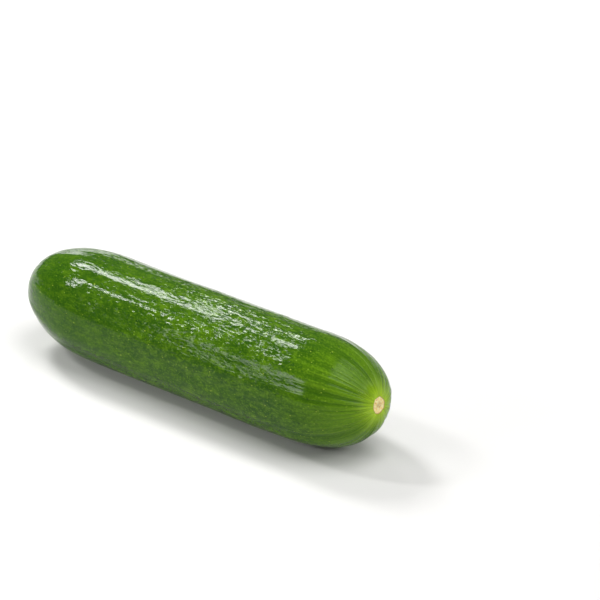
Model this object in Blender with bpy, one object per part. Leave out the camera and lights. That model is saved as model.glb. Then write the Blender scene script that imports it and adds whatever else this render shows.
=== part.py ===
"""A snack cucumber lying on its side: one grown fruit, so one closed solid.

Frame: +X runs from the stem end to the blossom end, +Z is up, and the fruit rests on Z = 0
with the origin under the middle of its bounding box. All sizes are in metres.
"""

import math

import bmesh
import bpy
from mathutils import Vector

# Overall size
LENGTH = 0.1605  # between the poles of the two rounded ends, before their dimples
STEM_SIDE_DIAMETER = 0.0406  # the body's girth carried on to the stem pole
BLOSSOM_SIDE_DIAMETER = 0.0394  # the same at the blossom pole

# How far each end takes to round off, and how square its shoulder is (2 is an ellipse)
STEM_ROUNDING = 0.0355
STEM_SQUARENESS = 2.10
BLOSSOM_ROUNDING = 0.0325
BLOSSOM_SQUARENESS = 2.28

# The growth curve: a slight sideways bow, and ends that turn up off the surface
BOW = 0.0010
TURN_UP_REACH = 0.0500
STEM_TURN_UP = 0.0028
BLOSSOM_TURN_UP = 0.0038

# Low ribs along the body. The fruit lies on the flat between two of them.
RIB_COUNT = 12
RIB_HEIGHT = 0.00030

# The corky scars, each on the floor of a shallow dimple
STEM_SCAR_DIAMETER = 0.0070
STEM_DIMPLE_DIAMETER = 0.0150
STEM_DIMPLE_DEPTH = 0.0012
BLOSSOM_SCAR_DIAMETER = 0.0062
BLOSSOM_DIMPLE_DIAMETER = 0.0110
BLOSSOM_DIMPLE_DEPTH = 0.0004
SCAR_SINK = 0.00025  # step from the skin down to the scar

# How much the skin gives where the weight rests on it
REST_DEPTH = 0.00030

# Fineness of the faceted solid
SIDES = 60
CAP_RINGS = 12
BODY_RINGS = 18


def body_radius(x):
    """Radius of the body at x, a straight taper from one pole to the other."""
    along = x / LENGTH + 0.5
    diameter = STEM_SIDE_DIAMETER + (BLOSSOM_SIDE_DIAMETER - STEM_SIDE_DIAMETER) * along
    return diameter / 2


def centre_line(x):
    """Centre of the fruit's section at x: a parabolic bow, and a level underside with turned-up ends."""
    turn_up = BLOSSOM_TURN_UP if x > 0 else STEM_TURN_UP
    share = max(0.0, abs(x) - (LENGTH / 2 - TURN_UP_REACH)) / TURN_UP_REACH
    return Vector((x, BOW * (1 - (2 * x / LENGTH) ** 2), body_radius(x) + turn_up * share**2))


def section_axes(x):
    """The two directions across the fruit at x, both square to its centre line."""
    step = LENGTH / 1000
    tangent = (centre_line(x + step) - centre_line(x - step)).normalized()
    sideways = Vector((0, 0, 1)).cross(tangent).normalized()
    return sideways, tangent.cross(sideways)


def dip(radius, dimple_diameter, dimple_depth):
    """How far the dimple sinks the skin at this radius: half a cosine wave."""
    share = min(1.0, 2 * radius / dimple_diameter)
    return dimple_depth * (0.5 + 0.5 * math.cos(math.pi * share))


def end_outline(side, rounding, squareness, scar_diameter, dimple_diameter, dimple_depth):
    """Points (x, radius, x of the section they belong to) of one end, from its scar to its shoulder.

    The end is a superellipse with a dimple. side is 1 for the blossom end and -1 for the stem end.
    """
    pole_radius = body_radius(side * LENGTH / 2)
    first = math.asin((scar_diameter / 2 / pole_radius) ** (squareness / 2))
    outline = []
    for i in range(CAP_RINGS + 1):
        turn = first + (math.pi / 2 - first) * i / CAP_RINGS
        inset = rounding * (1 - math.cos(turn) ** (2 / squareness))
        section = side * (LENGTH / 2 - inset)
        radius = body_radius(section) * math.sin(turn) ** (2 / squareness)
        sunk = dip(radius, dimple_diameter, dimple_depth)
        outline.append((section - side * sunk, radius, section))
    rim_x, rim_radius, rim_section = outline[0]
    floor = (rim_x - side * SCAR_SINK, rim_radius - SCAR_SINK, rim_section)
    return [floor] + outline


def outline():
    """The whole outline, from the stem scar to the blossom scar."""
    stem = end_outline(
        -1, STEM_ROUNDING, STEM_SQUARENESS, STEM_SCAR_DIAMETER, STEM_DIMPLE_DIAMETER, STEM_DIMPLE_DEPTH
    )
    blossom = end_outline(
        1,
        BLOSSOM_ROUNDING,
        BLOSSOM_SQUARENESS,
        BLOSSOM_SCAR_DIAMETER,
        BLOSSOM_DIMPLE_DIAMETER,
        BLOSSOM_DIMPLE_DEPTH,
    )
    start, end = stem[-1][0], blossom[-1][0]
    body = []
    for i in range(1, BODY_RINGS):
        x = start + (end - start) * i / BODY_RINGS
        body.append((x, body_radius(x), x))
    return stem + body + blossom[::-1]


def ring(x, radius, section):
    """One ring of points round the fruit, with the ribs fading out towards the scars."""
    centre = centre_line(section)
    sideways, upwards = section_axes(section)
    tangent = sideways.cross(upwards)
    centre = centre + tangent * (x - section)
    fade = (radius / body_radius(section)) ** 2
    points = []
    for k in range(SIDES):
        angle = 2 * math.pi * k / SIDES
        from_underside = angle + math.pi / 2
        rib = -0.5 * RIB_HEIGHT * fade * math.cos(RIB_COUNT * from_underside)
        across = sideways * math.cos(angle) + upwards * math.sin(angle)
        points.append(centre + across * (radius + rib))
    return points


def settled(rings):
    """The rings with the underside pressed flat, moved so that the origin is under the box's middle."""
    points = [point for points in rings for point in points]
    ground = min(p.z for p in points) + REST_DEPTH
    middle = [(min(p[i] for p in points) + max(p[i] for p in points)) / 2 for i in (0, 1)]
    return [
        [Vector((p.x - middle[0], p.y - middle[1], max(0.0, p.z - ground))) for p in points]
        for points in rings
    ]


def skin(rings, scar_slot):
    """A closed mesh over the rings, with a flat scar at each end."""
    shell = bmesh.new()
    loops = [[shell.verts.new(point) for point in points] for points in rings]
    for first, second in zip(loops, loops[1:]):
        for k in range(SIDES):
            after = (k + 1) % SIDES
            shell.faces.new((first[k], first[after], second[after], second[k]))
    for scar in (shell.faces.new(loops[0]), shell.faces.new(loops[-1])):
        scar.material_index = scar_slot
    bmesh.ops.recalc_face_normals(shell, faces=shell.faces)
    mesh = bpy.data.meshes.new("cucumber")
    shell.to_mesh(mesh)
    shell.free()
    mesh.shade_smooth()
    mesh.set_sharp_from_angle(angle=math.radians(40))
    return mesh


def material(name, colour, roughness):
    """A plain Principled material."""
    made = bpy.data.materials.new(name)
    made.use_nodes = True
    shader = made.node_tree.nodes["Principled BSDF"]
    shader.inputs["Base Color"].default_value = (*colour, 1)
    shader.inputs["Roughness"].default_value = roughness
    shader.inputs["Metallic"].default_value = 0
    return made


def build():
    for old in list(bpy.data.objects):
        bpy.data.objects.remove(old)
    rings = settled([ring(*point) for point in outline()])
    mesh = skin(rings, scar_slot=1)
    mesh.materials.append(material("cucumber_skin", (0.060, 0.165, 0.012), 0.30))
    mesh.materials.append(material("corky_scar", (0.640, 0.470, 0.250), 0.75))
    bpy.context.scene.collection.objects.link(bpy.data.objects.new("cucumber", mesh))


build()
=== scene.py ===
"""The look of a snack cucumber lying on a pale studio floor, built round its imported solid.

The fruit's skin is one closed surface, worked out as a function of two parameters: the distance
from the stem pole along the outline, and the angle round the fruit from its underside.
"""

import itertools
import math

import bpy
import numpy as np
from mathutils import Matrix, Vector


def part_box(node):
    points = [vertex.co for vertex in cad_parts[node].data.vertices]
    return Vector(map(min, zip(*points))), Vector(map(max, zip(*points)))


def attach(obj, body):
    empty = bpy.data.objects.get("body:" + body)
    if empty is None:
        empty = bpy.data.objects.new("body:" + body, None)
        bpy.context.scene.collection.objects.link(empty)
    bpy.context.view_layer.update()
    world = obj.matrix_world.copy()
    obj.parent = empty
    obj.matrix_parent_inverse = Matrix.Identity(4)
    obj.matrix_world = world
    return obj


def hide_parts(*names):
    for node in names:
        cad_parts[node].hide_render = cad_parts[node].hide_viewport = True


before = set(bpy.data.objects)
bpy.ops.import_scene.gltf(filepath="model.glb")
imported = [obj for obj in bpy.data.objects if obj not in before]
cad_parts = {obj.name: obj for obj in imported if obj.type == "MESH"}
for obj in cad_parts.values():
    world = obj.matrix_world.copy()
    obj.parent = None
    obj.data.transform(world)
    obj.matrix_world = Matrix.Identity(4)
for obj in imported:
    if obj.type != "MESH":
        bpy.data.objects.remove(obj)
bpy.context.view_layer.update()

MM = 0.001
fruit_low, fruit_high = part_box("cucumber")

# ---------------------------------------------------------------- sizes of the fruit, in metres
END_SINK = 0.55 * MM  # what the dimples at the two poles take off the length
LENGTH = fruit_high.x - fruit_low.x + END_SINK
GIRTH = fruit_high.z - fruit_low.z  # thickness at the middle
TAPER = 0.25 * MM  # how much each pole's radius differs from the middle's
STEM_SIDE_RADIUS = GIRTH / 2 + TAPER
BLOSSOM_SIDE_RADIUS = GIRTH / 2 - TAPER
STEM_ROUNDING, STEM_SQUARENESS = 35.5 * MM, 2.10
BLOSSOM_ROUNDING, BLOSSOM_SQUARENESS = 32.5 * MM, 2.28
BOW = 1.0 * MM
TURN_UP_REACH = 50 * MM
STEM_TURN_UP, BLOSSOM_TURN_UP = 2.8 * MM, 3.8 * MM
REST_DEPTH = 0.30 * MM  # how much the skin gives where the weight rests on it
RIB_COUNT = 12

STEM_SCAR_RADIUS, BLOSSOM_SCAR_RADIUS = 3.5 * MM, 3.15 * MM
STEM_DIMPLE_RADIUS, STEM_DIMPLE_DEPTH = 7.5 * MM, 1.2 * MM
BLOSSOM_DIMPLE_RADIUS, BLOSSOM_DIMPLE_DEPTH = 5.5 * MM, 0.4 * MM
SCAR_SINK = 0.25 * MM

# ---------------------------------------------------------------- fineness of the surface
AROUND = 400
ROWS = 247
FINE_STEP, COARSE_STEP = 0.24 * MM, 0.84 * MM  # between rows, at the poles and along the body
END_POINTS, MEASURE_POINTS = 1500, 20000  # points that the outline is measured at to place the rows

# Large odd numbers that turn a cell of the noise into its fixed random direction
CELL_HASH = (73856093, 19349663, 83492791)
SEED_HASH = 50331653
STIRS = ((13, 1274126177), (15, 2246822519))  # how far to shift, and what to multiply by
LOW_32_BITS, LOW_16_BITS = 0xFFFFFFFF, 0xFFFF
NOISE_GAIN = 1.6  # brings the noise to about -1 to 1


def smooth(value, low, high):
    """0 below low, 1 above high, and 3t^2 - 2t^3 between them."""
    t = np.clip((value - low) / (high - low), 0, 1)
    return t * t * (3 - 2 * t)


def ripple(points, seed):
    """Gradient noise in cells of size 1, about -1 to 1: each corner of the cell round a point has
    a fixed random direction, and its dot product with the way to the point fades to the next corner."""
    cell = np.floor(points).astype(np.int64)
    inside = points - cell
    ease = inside**3 * (inside * (inside * 6 - 15) + 10)
    total = np.zeros(points.shape[:-1])
    for corner in itertools.product((0, 1), repeat=3):
        at = cell + corner
        mixed = np.full(at.shape[:-1], seed * SEED_HASH)
        for axis, factor in enumerate(CELL_HASH):
            mixed = mixed ^ (at[..., axis] * factor)
        for shift, factor in STIRS:
            mixed = ((mixed ^ (mixed >> shift)) * factor) & LOW_32_BITS
        turn = (mixed & LOW_16_BITS) / 65536 * 2 * np.pi
        height = (mixed >> 16) / 65536 * 2 - 1
        flat = np.sqrt(1 - height**2)
        way = np.stack([flat * np.cos(turn), flat * np.sin(turn), height], -1)
        share = np.prod(np.where(corner, ease, 1 - ease), -1)
        total += share * (way * (inside - corner)).sum(-1)
    return NOISE_GAIN * total


def body_radius(x):
    """A straight taper from the stem pole to the blossom pole."""
    return STEM_SIDE_RADIUS + (BLOSSOM_SIDE_RADIUS - STEM_SIDE_RADIUS) * (x / LENGTH + 0.5)


def end_curve(turn, rounding, squareness):
    """A superellipse, as turn goes from 0 at the pole to 90 degrees: how far in from the pole, and the
    share of the body's radius."""
    return rounding * (1 - np.cos(turn) ** (2 / squareness)), np.sin(turn) ** (2 / squareness)


def outline():
    """Where the rows lie: their x, their radius and their distance along the outline from the stem pole,
    then the whole distance from pole to pole. The rows are close together near the poles."""
    turn = np.linspace(0, np.pi / 2, END_POINTS)
    stem_inset, stem_share = end_curve(turn, STEM_ROUNDING, STEM_SQUARENESS)
    blossom_inset, blossom_share = end_curve(turn[::-1], BLOSSOM_ROUNDING, BLOSSOM_SQUARENESS)
    x = np.concatenate([stem_inset - LENGTH / 2, LENGTH / 2 - blossom_inset])
    share = np.concatenate([stem_share, blossom_share])
    radius = body_radius(x) * share
    distance = np.concatenate([[0], np.cumsum(np.hypot(np.diff(x), np.diff(radius)))])
    fine = np.linspace(0, distance[-1], MEASURE_POINTS)
    from_pole = np.minimum(fine, distance[-1] - fine)
    step = FINE_STEP + (COARSE_STEP - FINE_STEP) * smooth(from_pole, 3.5 * MM, 10 * MM)
    count = np.concatenate([[0], np.cumsum(np.diff(fine) / step[1:])])
    stations = np.interp(np.linspace(0, count[-1], ROWS + 2)[1:-1], count, fine)
    return np.interp(stations, distance, x), np.interp(stations, distance, radius), stations, distance[-1]


def centre_line(x):
    """The middle of the section at x: a parabolic bow, and ends that turn up off the surface."""
    reach = np.maximum(0, np.abs(x) - (LENGTH / 2 - TURN_UP_REACH)) / TURN_UP_REACH
    turn_up = np.where(x > 0, BLOSSOM_TURN_UP, STEM_TURN_UP)
    return np.stack([x, BOW * (1 - (2 * x / LENGTH) ** 2), body_radius(x) + turn_up * reach**2], -1)


def dip(radius, dimple_radius, depth):
    """Half a cosine wave: full depth at the middle of the dimple and nothing at its edge."""
    return depth * (0.5 + 0.5 * np.cos(np.pi * np.minimum(1, radius / dimple_radius)))


# The next three functions give heights in mm, and skin_relief turns their sum into metres. A pattern's
# cell is three lengths in mm: one along the fruit and two across it. Each pattern has its own seed.


def ribs_and_lobes(angle, skin_map):
    """Cosines of the angle round the fruit, which wanders a little along it: three lobes, the ribs, and
    half-ribs that split the ribs in two on the upper side."""
    wander = 0.045 * ripple(skin_map / (55, 16, 16), 3)
    split = smooth(-np.cos(angle), 0.35, 0.75)
    uneven = 1 + 0.5 * ripple(skin_map / (40, 12, 12), 4)
    lobes = 0.12 * np.cos(3 * (angle + wander) + 0.6)
    rib_angle = RIB_COUNT * (angle - 0.03 + wander)
    ribs = -(0.14 - 0.08 * split) * uneven * np.cos(rib_angle)
    half_ribs = -(0.012 + 0.036 * split) * uneven * np.cos(2 * rib_angle)
    return lobes + ribs + half_ribs


def wrinkles(angle, skin_map, along, whole):
    """Folds, less grooves and pocks, and how deep among the creases each point lies, for the darker green and
    painted shade that the colour lays into them.

    Folds are how far a noise is from 0, so that a crease runs where it crosses 0, and grooves run where
    another noise is near 0. Pocks are the peaks of a third one. They come in patches, are rougher in the
    blossom half, weaker on the underside, and stop short of the ends.
    """
    crinkled = smooth(along, 5 * MM, 22 * MM) * smooth(whole - along, 24 * MM, 42 * MM)
    crinkled = crinkled * (0.40 + 0.60 * smooth(-np.cos(angle), -0.35, 0.35))
    patchy = np.clip(0.45 + 1.1 * ripple(skin_map / (16, 5, 5), 11), 0, 1)
    rougher = smooth(along, 55 * MM, 105 * MM)
    bend = np.stack([ripple(skin_map / (4, 2, 2), seed) for seed in (13, 14, 15)], -1)
    bent = skin_map + 0.5 * bend

    long_folds = np.abs(ripple(bent / (3.4, 1.10, 1.10), 17))
    short_folds = np.abs(ripple(bent / (2.0, 0.72, 0.72), 19))
    strength = 0.14 + 0.26 * patchy + rougher * (0.10 + 1.10 * patchy)
    folds = crinkled * strength * (0.13 * long_folds + 0.07 * short_folds)

    grooves = 1 - smooth(np.abs(ripple(bent / (3.6, 1.5, 1.5), 37)), 0.0, 0.34)
    pocks = smooth(ripple(bent / (2.4, 0.95, 0.95), 43), 0.12, 0.55)
    dented = crinkled * (0.3 + 0.7 * patchy) * (0.70 + 0.35 * rougher)
    height = folds - dented * (0.050 * grooves + 0.100 * pocks)
    # depth among the creases, which the colour turns into a darker green and painted shade
    crease_shade = crinkled * np.maximum(grooves, 1 - smooth(long_folds, 0.0, 0.22))
    return height, crease_shade


def gathers(skin_map, along, whole):
    """Long narrow folds that meet at each scar, and how deep among the creases each point lies, for the
    darker green and painted shade that the colour lays into them. The folds are how far a noise with long
    thin cells is from 0."""
    start = smooth(whole - along, 3.3 * MM, 8 * MM)
    to_blossom = start * (1 - smooth(whole - along, 5 * MM, 34 * MM))
    sparse = np.clip(0.45 + 0.9 * ripple(skin_map / (50, 5, 5), 27), 0, 1)
    wide = np.abs(ripple(skin_map / (60, 2.4, 2.4), 23)) ** 0.8
    narrow = np.abs(ripple(skin_map / (40, 1.2, 1.2), 29))
    to_stem = (1 - smooth(along, 6 * MM, 26 * MM)) * smooth(along, 3.6 * MM, 8 * MM)
    stem_folds = np.abs(ripple(skin_map / (50, 3.2, 3.2), 31))

    height = to_blossom * sparse * (0.27 * wide + 0.08 * narrow) + to_stem * 0.28 * stem_folds
    # depth among the furrows, which the colour turns into a darker green and painted shade
    crease_shade = 1.8 * to_blossom * sparse * (1 - smooth(wide, 0.0, 0.25))
    return height, crease_shade


def skin_relief(angle, along, whole):
    """Height of the skin over the smooth fruit, how deep among the creases each point lies (for a darker
    green and painted shade in them), and its place on the skin's pattern in mm: the way along, and the point
    at its angle on a circle of the fruit's girth.

    The height is the sum of lobes and ribs, slow swellings, wrinkles, and gathers at the ends.
    """
    circle = np.stack([np.cos(angle), np.sin(angle)], -1)
    skin_map = np.concatenate([along[..., None] / MM, GIRTH / 2 / MM * circle], -1)
    body = smooth(along, 4 * MM, 30 * MM) * smooth(whole - along, 4 * MM, 30 * MM)
    swellings = 0.20 * ripple(skin_map / (28, 9, 9), 7) + 0.05 * ripple(skin_map / (13, 4, 4), 8)
    wrinkle_height, wrinkle_crease_shade = wrinkles(angle, skin_map, along, whole)
    gather_height, gather_crease_shade = gathers(skin_map, along, whole)
    height = body * ribs_and_lobes(angle, skin_map) + smooth(along, 2 * MM, 20 * MM) * swellings
    height = height + wrinkle_height + gather_height
    return height * MM, wrinkle_crease_shade + gather_crease_shade, skin_map


def scar_relief(radius, angle, scar_radius, seed):
    """Sink of the corky disc and where it lies, 0 to 1: a step down inside an uneven edge, to a floor that
    is lumpy like dry cork. The edge and the lumps are sums of two noises."""
    ring = np.stack([np.cos(angle), np.sin(angle), 0 * angle], -1)
    edge = scar_radius * (0.97 + 0.08 * ripple(1.6 * ring, seed) + 0.07 * ripple(4 * ring, seed + 1))
    inside = 1 - smooth(radius / edge, 0.88, 1.03)
    places = np.stack([radius * np.cos(angle), radius * np.sin(angle), 0 * radius], -1) / MM
    cork = 0.09 * ripple(places / 0.8, seed + 2) + 0.10 * ripple(places / 1.7, seed + 3)
    return inside * (SCAR_SINK - cork * MM), inside


def fruit_surface():
    """Rows of rings on the growth curve, moved along the skin's normal by its relief and along the growth
    curve by its dimples and scars. Then what the material reads: place on the pattern, depth among the
    creases for their darker green and painted shade, and scar."""
    x, radius, stations, whole = outline()
    angle = 2 * np.pi * np.arange(AROUND) / AROUND
    spine = centre_line(x)
    tangent = centre_line(x + 0.1 * MM) - centre_line(x - 0.1 * MM)
    tangent /= np.linalg.norm(tangent, axis=1, keepdims=True)
    sideways = np.cross((0, 0, 1), tangent)
    sideways /= np.linalg.norm(sideways, axis=1, keepdims=True)
    upwards = np.cross(tangent, sideways)
    around, along = np.meshgrid(angle, stations)
    spoke = sideways[:, None] * np.sin(around)[..., None] - upwards[:, None] * np.cos(around)[..., None]
    grid = spine[:, None] + spoke * radius[:, None, None]

    down_rows = np.gradient(grid, axis=0)
    down_columns = np.roll(grid, -1, 1) - np.roll(grid, 1, 1)
    normal = np.cross(down_rows, down_columns)
    normal /= np.linalg.norm(normal, axis=2, keepdims=True)
    normal *= np.sign((normal * spoke).sum(-1, keepdims=True) + 1e-9)  # turned outwards

    relief, crease_shade, skin_map = skin_relief(around, along, whole)
    wide = np.broadcast_to(radius[:, None], around.shape)
    stem_side = (x < 0)[:, None]
    stem_sink, stem_scar = scar_relief(wide, around, STEM_SCAR_RADIUS, 41)
    blossom_sink, blossom_scar = scar_relief(wide, around, BLOSSOM_SCAR_RADIUS, 51)
    scar = np.where(stem_side, stem_scar, blossom_scar)
    inward = np.where(
        stem_side,
        stem_sink + dip(wide, STEM_DIMPLE_RADIUS, STEM_DIMPLE_DEPTH),
        -blossom_sink - dip(wide, BLOSSOM_DIMPLE_RADIUS, BLOSSOM_DIMPLE_DEPTH),
    )
    grid = grid + normal * (relief * (1 - scar))[..., None] + tangent[:, None] * inward[..., None]
    return grid, skin_map, crease_shade, scar


def settle(grid):
    """Moves the surface so that it lies on Z = 0 in the middle of the solid's box, with the skin under
    it pressed flat: heights below the floor go to it, over a short smooth bend."""
    low, high = grid.min((0, 1)), grid.max((0, 1))
    shift = (np.array(fruit_low) + np.array(fruit_high)) / 2 - (low + high) / 2
    grid = grid + shift * (1, 1, 0)
    lift = grid[..., 2] - low[2] - REST_DEPTH
    bend = 0.02 * MM
    grid[..., 2] = 0.5 * (lift + np.sqrt(lift**2 + bend**2)) - bend / 4
    grid[..., 2] = np.maximum(grid[..., 2], 0)
    return grid


def closed_mesh(name, grid, point_values):
    """Quads between neighbouring rows, and a fan of triangles from a pole to each end row, all facing
    outwards. A pole takes the mean place and the mean values of its row."""
    rows, columns = grid.shape[:2]
    poles = np.stack([grid[0].mean(0), grid[-1].mean(0)])
    points = np.concatenate([grid.reshape(-1, 3), poles])
    index = np.arange(rows * columns).reshape(rows, columns)
    after = np.roll(index, -1, 1)
    quads = np.stack([index[:-1], after[:-1], after[1:], index[1:]], -1).reshape(-1, 4)
    first, last = rows * columns, rows * columns + 1
    fans = np.concatenate([
        np.stack([np.full(columns, first), after[0], index[0]], -1),
        np.stack([np.full(columns, last), index[-1], after[-1]], -1),
    ])
    mesh = bpy.data.meshes.new(name)
    mesh.from_pydata(points.tolist(), [], quads.tolist() + fans.tolist())
    for label, values in point_values.items():
        ends = np.stack([values[0].mean(0), values[-1].mean(0)])
        flat = np.concatenate([values.reshape(rows * columns, -1), ends.reshape(2, -1)])
        kind, field = ("FLOAT_VECTOR", "vector") if flat.shape[1] == 3 else ("FLOAT", "value")
        layer = mesh.attributes.new(label, kind, "POINT")
        layer.data.foreach_set(field, flat.ravel().astype(np.float32))
    mesh.shade_smooth()
    mesh.update()
    return mesh


# ---------------------------------------------------------------- materials
def fill(tree, socket, value):
    """Links a socket to another, or gives it a value."""
    if isinstance(value, bpy.types.NodeSocket):
        tree.links.new(value, socket)
    else:
        socket.default_value = value


def add(tree, kind, inputs=None, **settings):
    """Adds a node with its settings and its inputs."""
    made = tree.nodes.new(kind)
    for name, setting in settings.items():
        setattr(made, name, setting)
    for name, value in (inputs or {}).items():
        fill(tree, made.inputs[name], value)
    return made


def worked(tree, operation, first, second=0.0):
    """One Math node."""
    return add(tree, "ShaderNodeMath", {0: first, 1: second}, operation=operation).outputs[0]


def times(tree, first, *others):
    """The product of all the values."""
    for other in others:
        first = worked(tree, "MULTIPLY", first, other)
    return first


def plus(tree, first, *others):
    """The sum of all the values."""
    for other in others:
        first = worked(tree, "ADD", first, other)
    return first


def fade(tree, value, low, high, start=0.0, end=1.0):
    """start where value is at low, end at high, smoothly between them."""
    made = add(
        tree,
        "ShaderNodeMapRange",
        {"Value": value, "From Min": low, "From Max": high, "To Min": start, "To Max": end},
        interpolation_type="SMOOTHSTEP",
    )
    return made.outputs[0]


def blend(tree, share, first, second):
    """first where share is 0 and second where it is 1, one Mix node for numbers."""
    return add(tree, "ShaderNodeMix", {0: share, 2: first, 3: second}, data_type="FLOAT").outputs[0]


def blend_colour(tree, share, first, second):
    """The same for colours."""
    return add(tree, "ShaderNodeMix", {0: share, 6: first, 7: second}, data_type="RGBA").outputs[2]


def layered(tree, base, *layers):
    """A colour with others laid over it in turn. A layer is its share and its colour."""
    for share, colour in layers:
        base = blend_colour(tree, share, base, colour)
    return base


def scaled(tree, vector, size):
    """The pattern place divided by the size of one cell of the pattern."""
    return add(tree, "ShaderNodeVectorMath", {0: vector, 1: size}, operation="DIVIDE").outputs[0]


def shared(tree, name, output):
    """One of the values that the surface carries at each of its points."""
    return add(tree, "ShaderNodeAttribute", attribute_name=name).outputs[output]


def speckle(tree, vector, size, detail=2.0, roughness=0.5, distortion=0.0):
    """A Noise texture with cells of the given size, 0 to 1."""
    made = add(
        tree,
        "ShaderNodeTexNoise",
        {
            "Vector": scaled(tree, vector, size),
            "Scale": 1.0,
            "Detail": detail,
            "Roughness": roughness,
            "Distortion": distortion,
        },
    )
    return made.outputs[0]


def pillow(tree, vector, size, distortion):
    """Rounded swellings with sharp creases between them: how far a Noise texture is from its middle."""
    noise = speckle(tree, vector, size, 0.0, 0.5, distortion)
    return worked(tree, "ABSOLUTE", worked(tree, "SUBTRACT", noise, 0.5))


def dots(tree, vector, size, core, edge, share):
    """Round dots at the middles of Voronoi cells, in that share of the cells: 1 in the core, 0 past the
    edge, both in cells."""
    cells = add(tree, "ShaderNodeTexVoronoi", {"Vector": scaled(tree, vector, size), "Scale": 1.0})
    chance = add(tree, "ShaderNodeSeparateColor", {0: cells.outputs["Color"]}).outputs[0]
    kept = fade(tree, chance, 1 - share - 0.05, 1 - share + 0.05)
    return times(tree, fade(tree, cells.outputs["Distance"], core, edge, 1, 0), kept)


def rgb(red, green, blue):
    """A linear colour, solid."""
    return (red, green, blue, 1.0)


WHITE = rgb(1.0, 1.0, 1.0)
PALE_FLOOR = rgb(0.675, 0.670, 0.660)

# Skin of the body
DEEP_GREEN, FRESH_GREEN = rgb(0.030, 0.090, 0.001), rgb(0.062, 0.150, 0.002)
LIGHT_PATCH, DARK_PATCH = rgb(0.118, 0.238, 0.004), rgb(0.014, 0.058, 0.001)
LIGHT_GRAIN, DARK_GRAIN = rgb(0.120, 0.240, 0.012), rgb(0.018, 0.066, 0.003)
DARK_STREAK = rgb(0.016, 0.062, 0.003)
STEM_GREEN = rgb(0.020, 0.070, 0.002)
# a darker green for the creases: part the skin's own colour, part painted shade where they fall into shadow
CREASE_SHADE_GREEN = rgb(0.018, 0.060, 0.003)
PALE_FRECKLE, FAINT_FRECKLE, DARK_PIT = rgb(0.34, 0.44, 0.05), rgb(0.20, 0.33, 0.03), rgb(0.008, 0.036, 0.002)

# Skin of the blossom end
BLOSSOM_GREEN, LIME = rgb(0.150, 0.300, 0.010), rgb(0.400, 0.610, 0.020)
LIGHT_STRIPE, DARK_STRIPE = rgb(0.190, 0.350, 0.012), rgb(0.020, 0.074, 0.001)

# Scars
# the last cork colour is painted shade for the stem scar, which faces the lights
TAN_CORK, CREAM_CORK, SHADED_STEM_CORK = rgb(0.95, 0.66, 0.24), rgb(1.0, 0.94, 0.53), rgb(0.300, 0.205, 0.095)
VESSEL_BROWN, RIM_BROWN = rgb(0.62, 0.27, 0.05), rgb(0.36, 0.15, 0.03)

WAX_IOR = 1.235
CORK_ROUGHNESS = 0.85


def body_green(tree, place, along, from_blossom):
    """Mottled greens with a fine grain and thin streaks along the fruit, darker in the stem half. The
    patches grow faint towards the blossom end."""
    mottle = speckle(tree, place, (16, 6, 6), 3.0, 0.55)
    patches = speckle(tree, place, (4.2, 2.2, 2.2), 4.0, 0.65)
    grain = speckle(tree, place, (0.9, 0.6, 0.6), 2.0, 0.6)
    streak = speckle(tree, place, (30, 1.0, 1.0), 3.0, 0.6)
    calm = fade(tree, from_blossom, 16.0, 50.0, 0.30, 1.0)
    return layered(
        tree,
        blend_colour(tree, fade(tree, mottle, 0.35, 0.68), DEEP_GREEN, FRESH_GREEN),
        (times(tree, fade(tree, patches, 0.49, 0.65, 0, 0.58), calm), LIGHT_PATCH),
        (times(tree, fade(tree, patches, 0.35, 0.50, 0.75, 0), calm), DARK_PATCH),
        (fade(tree, streak, 0.38, 0.66, 0.25, 0), DARK_STREAK),
        (fade(tree, grain, 0.50, 0.70, 0, 0.60), LIGHT_GRAIN),
        (fade(tree, grain, 0.32, 0.48, 0.65, 0), DARK_GRAIN),
        (fade(tree, along, 25.0, 110.0, 0.42, 0.0), STEM_GREEN),
    )


def blossom_green(tree, green, place, stripe, from_blossom):
    """Lime round the blossom scar, that goes over into the green in uneven rays, with light and dark
    stripes that meet at the scar. The dark ones stand in groups."""
    ray = times(tree, speckle(tree, place, (70, 1.9, 1.9), 2.0, 0.55), 0.7)
    ray_fine = times(tree, speckle(tree, place, (40, 0.7, 0.7), 2.0, 0.6), 0.3)
    light_ray = fade(tree, plus(tree, ray, ray_fine), 0.42, 0.60)
    reach = plus(tree, from_blossom, times(tree, light_ray, -2.5))
    near = fade(tree, reach, 1.0, 34.0, 1.0, 0.0)
    close = fade(tree, reach, -3.0, 11.0, 1.0, 0.0)

    striped = times(
        tree,
        fade(tree, from_blossom, 3.5, 12.0),
        fade(tree, from_blossom, 16.0, 54.0, 1.0, 0.0),
    )
    group = fade(tree, speckle(tree, place, (60, 8, 8), 1.0, 0.5), 0.36, 0.56, 0.30, 1.0)
    dark = fade(tree, stripe, 0.46, 0.62)
    light = fade(tree, stripe, 0.30, 0.44, 0.35, 0.0)
    return layered(
        tree,
        green,
        (times(tree, near, 0.60), BLOSSOM_GREEN),
        (close, LIME),
        (times(tree, dark, group, striped, 0.62), DARK_STRIPE),
        (times(tree, light, striped), LIGHT_STRIPE),
    )


def freckled(tree, green, place, crease_shade, pits):
    """Creases hold a darker green and painted shade, and the skin is dotted with pale and faint freckles and
    dark pits.
    """
    pale = dots(tree, place, (3.6, 2.8, 2.8), 0.05, 0.10, 0.55)
    faint = dots(tree, place, (1.9, 1.4, 1.4), 0.10, 0.20, 0.40)
    return layered(
        tree,
        green,
        # painted shade: the creases darkened, together with a darker green of the skin
        (times(tree, crease_shade, 0.30), CREASE_SHADE_GREEN),
        (times(tree, pale, 0.75), PALE_FRECKLE),
        (times(tree, faint, 0.60), FAINT_FRECKLE),
        (times(tree, pits, 0.55), DARK_PIT),
    )


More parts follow.
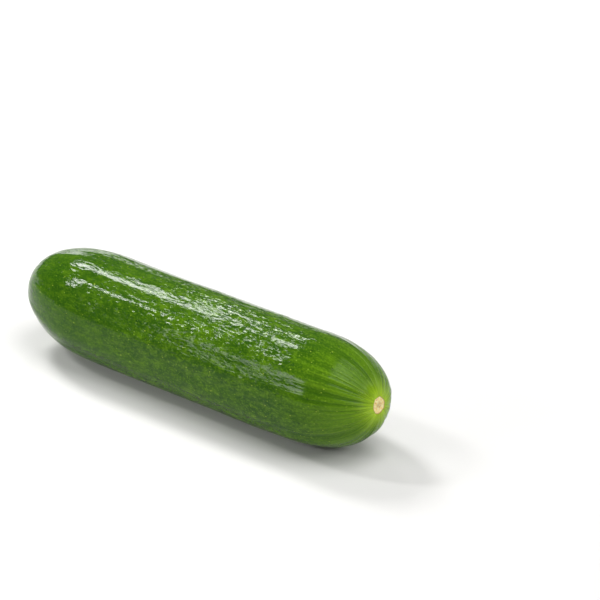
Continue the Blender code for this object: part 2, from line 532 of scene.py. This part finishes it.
def corky(tree, green, scar, cork_grain, spot_mm, along):
    """The green with cork over it inside the scars: tan and cream, with brown vessel ends and a brown rim,
    and darker at the stem: painted shade that dims the stem scar, which faces the lights."""
    spaced = scaled(tree, spot_mm, (1.1, 1.1, 1.1))
    vessels = add(tree, "ShaderNodeTexVoronoi", {"Vector": spaced, "Scale": 1.0})
    cork = layered(
        tree,
        blend_colour(tree, fade(tree, cork_grain, 0.35, 0.65), TAN_CORK, CREAM_CORK),
        (fade(tree, vessels.outputs["Distance"], 0.14, 0.28, 0.9, 0), VESSEL_BROWN),
        # painted shade: the stem scar darkened, as it faces the lights
        (fade(tree, along, 8.0, 20.0, 0.65, 0.0), SHADED_STEM_CORK),
    )
    rim = times(tree, fade(tree, scar, 0.05, 0.5), fade(tree, scar, 0.6, 0.98, 1, 0))
    return layered(tree, green, (fade(tree, scar, 0.25, 0.5), cork), (times(tree, rim, 0.8), RIM_BROWN))


def wax_roughness(tree, place, scar, from_blossom):
    """Glossy wax with duller flecks, duller near the blossom scar, and dry cork in the scars."""
    gloss = speckle(tree, place, (9, 4, 4), 2.0, 0.5)
    dull = speckle(tree, place, (2.2, 0.6, 0.6), 1.0, 0.5)
    wax = plus(
        tree,
        fade(tree, gloss, 0.3, 0.7, 0.03, 0.06),
        fade(tree, dull, 0.50, 0.58, 0.0, 0.07),
        fade(tree, from_blossom, 12.0, 34.0, 0.12, 0.0),
    )
    return blend(tree, fade(tree, scar, 0.2, 0.6), wax, CORK_ROUGHNESS)


def fine_height(tree, place, scar, cork_grain, stripe, pits, along, from_blossom):
    """Height of what is too fine for the surface, in mm: crinkles that are strongest where the skin is
    wrinkled, less pits and stripes, and the grain of the cork."""
    wrinkled = times(tree, fade(tree, along, 8.0, 30.0), fade(tree, from_blossom, 24.0, 48.0))
    crinkle = times(tree, pillow(tree, place, (2.0, 0.62, 0.62), 0.4), 0.07)
    crinkle_fine = times(tree, pillow(tree, place, (1.2, 0.40, 0.40), 0.3), 0.025)
    strength = times(
        tree,
        fade(tree, wrinkled, 0.0, 1.0, 0.12, 1.0),
        fade(tree, along, 50.0, 105.0, 0.70, 1.00),
    )
    height = times(tree, plus(tree, crinkle, crinkle_fine), strength)
    height = worked(tree, "SUBTRACT", height, times(tree, pits, 0.11))
    sunk_stripe = times(tree, stripe, fade(tree, from_blossom, 3.0, 46.0, 0.7, 0.0))
    height = worked(tree, "SUBTRACT", height, sunk_stripe)
    return plus(tree, height, times(tree, cork_grain, fade(tree, scar, 0.2, 0.6, 0, 0.35)))


def skin_material(whole_mm):
    """Waxy green skin, paler and striped towards the blossom end, with a corky scar at each end."""
    made = bpy.data.materials.new("cucumber_skin")
    made.use_nodes = True
    tree = made.node_tree
    shader = tree.nodes["Principled BSDF"]
    place = shared(tree, "skin_map", "Vector")
    crease_shade = shared(tree, "crease_shade", "Fac")
    # depth among the creases, for their darker green and painted shade
    scar = shared(tree, "scar", "Fac")
    spot = add(tree, "ShaderNodeTexCoord").outputs["Object"]
    spot_mm = scaled(tree, spot, (MM, MM, MM))
    along = add(tree, "ShaderNodeSeparateXYZ", {0: place}).outputs[0]
    from_blossom = worked(tree, "SUBTRACT", whole_mm, along)

    stripe = speckle(tree, place, (80, 1.7, 1.7), 2.5, 0.6)
    pits = dots(tree, place, (2.3, 1.7, 1.7), 0.09, 0.17, 0.50)
    cork_grain = speckle(tree, spot_mm, (0.7, 0.7, 0.7), 3.0, 0.65)

    colour = body_green(tree, place, along, from_blossom)
    colour = blossom_green(tree, colour, place, stripe, from_blossom)
    colour = freckled(tree, colour, place, crease_shade, pits)
    colour = corky(tree, colour, scar, cork_grain, spot_mm, along)
    fill(tree, shader.inputs["Base Color"], colour)
    fill(tree, shader.inputs["Roughness"], wax_roughness(tree, place, scar, from_blossom))
    shader.inputs["IOR"].default_value = WAX_IOR

    height = fine_height(tree, place, scar, cork_grain, stripe, pits, along, from_blossom)
    bump = add(tree, "ShaderNodeBump", {"Height": height, "Distance": MM, "Strength": 1.0})
    fill(tree, shader.inputs["Normal"], bump.outputs[0])
    return made


# ---------------------------------------------------------------- the fruit
grid, skin_map, crease_shade, scar = fruit_surface()
mesh = closed_mesh("cucumber_fruit", settle(grid), {"skin_map": skin_map, "crease_shade": crease_shade, "scar": scar})
whole = outline()[-1]
mesh.materials.append(skin_material(whole / MM))
fruit = bpy.data.objects.new("cucumber_fruit", mesh)
bpy.context.scene.collection.objects.link(fruit)
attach(fruit, "root")
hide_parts("cucumber")


# ---------------------------------------------------------------- studio
FLOOR_HALF_WIDTH = 4.0
LIT_FROM, LIT_TO, LIT_STRENGTH = 0.16, 1.40, 0.80  # the floor far from the fruit glows, so it stays pale
ROOM_GLOW = 0.12
BACKDROP_STRENGTH = 0.95
CORE_HEIGHT = 0.02


def plain_floor():
    """A wide flat sheet under the fruit."""
    half = FLOOR_HALF_WIDTH
    corners = [(-half, -half, 0), (half, -half, 0), (half, half, 0), (-half, half, 0)]
    sheet = bpy.data.meshes.new("studio_floor")
    sheet.from_pydata(corners, [], [(0, 1, 2, 3)])
    finish = bpy.data.materials.new("pale_floor")
    finish.use_nodes = True
    tree = finish.node_tree
    shader = tree.nodes["Principled BSDF"]
    shader.inputs["Base Color"].default_value = PALE_FLOOR
    shader.inputs["Emission Color"].default_value = WHITE
    place = add(tree, "ShaderNodeTexCoord").outputs["Object"]
    away = add(tree, "ShaderNodeVectorMath", {0: place}, operation="LENGTH").outputs["Value"]
    fill(tree, shader.inputs["Emission Strength"], fade(tree, away, LIT_FROM, LIT_TO, 0.0, LIT_STRENGTH))
    shader.inputs["Roughness"].default_value = 0.9
    shader.inputs["Specular IOR Level"].default_value = 0.1
    sheet.materials.append(finish)
    floor = bpy.data.objects.new("studio_floor", sheet)
    bpy.context.scene.collection.objects.link(floor)
    return floor


def aim(thing, target):
    """Points a light or camera's -Z at a place."""
    thing.rotation_euler = (Vector(target) - thing.location).to_track_quat("-Z", "Y").to_euler()


def soft_box(name, direction, distance, size, power, along=0.0):
    """A rectangular area light out along a direction from a point in the fruit's core, facing it. size is
    its width and its height, and along is the point's x."""
    core = Vector((along, 0, CORE_HEIGHT))
    light = bpy.data.lights.new(name, "AREA")
    light.shape = "RECTANGLE"
    light.size, light.size_y = size
    light.energy = power
    box = bpy.data.objects.new(name, light)
    box.location = core + Vector(direction).normalized() * distance
    aim(box, core)
    bpy.context.scene.collection.objects.link(box)


def studio_world():
    """A pale backdrop for the camera, and for everything else a dim room, lighter above and in front."""
    world = bpy.data.worlds.new("studio")
    world.use_nodes = True
    bpy.context.scene.world = world
    tree = world.node_tree
    tree.nodes.clear()
    way = add(tree, "ShaderNodeTexCoord").outputs["Generated"]
    apart = add(tree, "ShaderNodeSeparateXYZ", {0: way})
    above = fade(tree, apart.outputs[2], 0.45, 0.85, ROOM_GLOW, 0.22)
    behind = fade(tree, apart.outputs[1], 0.2, 0.8, 0.0, 0.03)
    front = fade(tree, apart.outputs[1], -0.9, -0.2, ROOM_GLOW, 0.0)
    seen = add(tree, "ShaderNodeLightPath").outputs["Is Camera Ray"]
    strength = blend(tree, seen, plus(tree, above, behind, front), BACKDROP_STRENGTH)
    backdrop = add(tree, "ShaderNodeBackground", {"Color": WHITE, "Strength": strength})
    out = add(tree, "ShaderNodeOutputWorld")
    tree.links.new(backdrop.outputs[0], out.inputs[0])


plain_floor()
studio_world()

# Three lights that draw the bright streaks along the top, one for the dim band below them, two that
# light the whole, and one for the rim of the far side. Directions are from the point each one faces.
soft_box("overhead_box", (-0.640, 0.178, 0.750), distance=0.80, size=(0.165, 0.27), power=4.2, along=-0.024)
soft_box("side_strip", (-0.640, -0.335, 0.700), distance=0.80, size=(0.075, 0.17), power=1.9, along=-0.018)
soft_box("back_strip", (-0.344, 0.325, 0.386), distance=0.61, size=(0.045, 0.06), power=0.27, along=0.025)
soft_box("left_panel", (-0.373, -0.826, 0.424), distance=0.448, size=(0.210, 0.10), power=0.64, along=0.007)
soft_box("top_fill", (0.350, 0.050, 0.930), distance=1.60, size=(1.10, 1.10), power=15.5)
soft_box("right_fill", (0.850, 0.150, 0.620), distance=1.50, size=(0.80, 0.50), power=7.8)
soft_box("rim_panel", (-0.720, 0.660, 0.170), distance=1.40, size=(0.40, 0.30), power=1.1)

CAMERA_AZIMUTH, CAMERA_ELEVATION = math.radians(39.2), math.radians(26.4)
CAMERA_DISTANCE = 1.039
CAMERA_TARGET = Vector((0.0036, 0.0497, 0.020))
LENS_MM, SENSOR_MM = 169.7, 36
camera_data = bpy.data.cameras.new("camera")
camera_data.lens = LENS_MM
camera_data.sensor_width = SENSOR_MM
camera = bpy.data.objects.new("camera", camera_data)
towards_camera = Vector((
    math.sin(CAMERA_AZIMUTH) * math.cos(CAMERA_ELEVATION),
    -math.cos(CAMERA_AZIMUTH) * math.cos(CAMERA_ELEVATION),
    math.sin(CAMERA_ELEVATION),
))
camera.location = CAMERA_TARGET + towards_camera * CAMERA_DISTANCE
aim(camera, CAMERA_TARGET)
bpy.context.scene.collection.objects.link(camera)
bpy.context.scene.camera = camera
bpy.context.scene.view_settings.view_transform = "Standard"
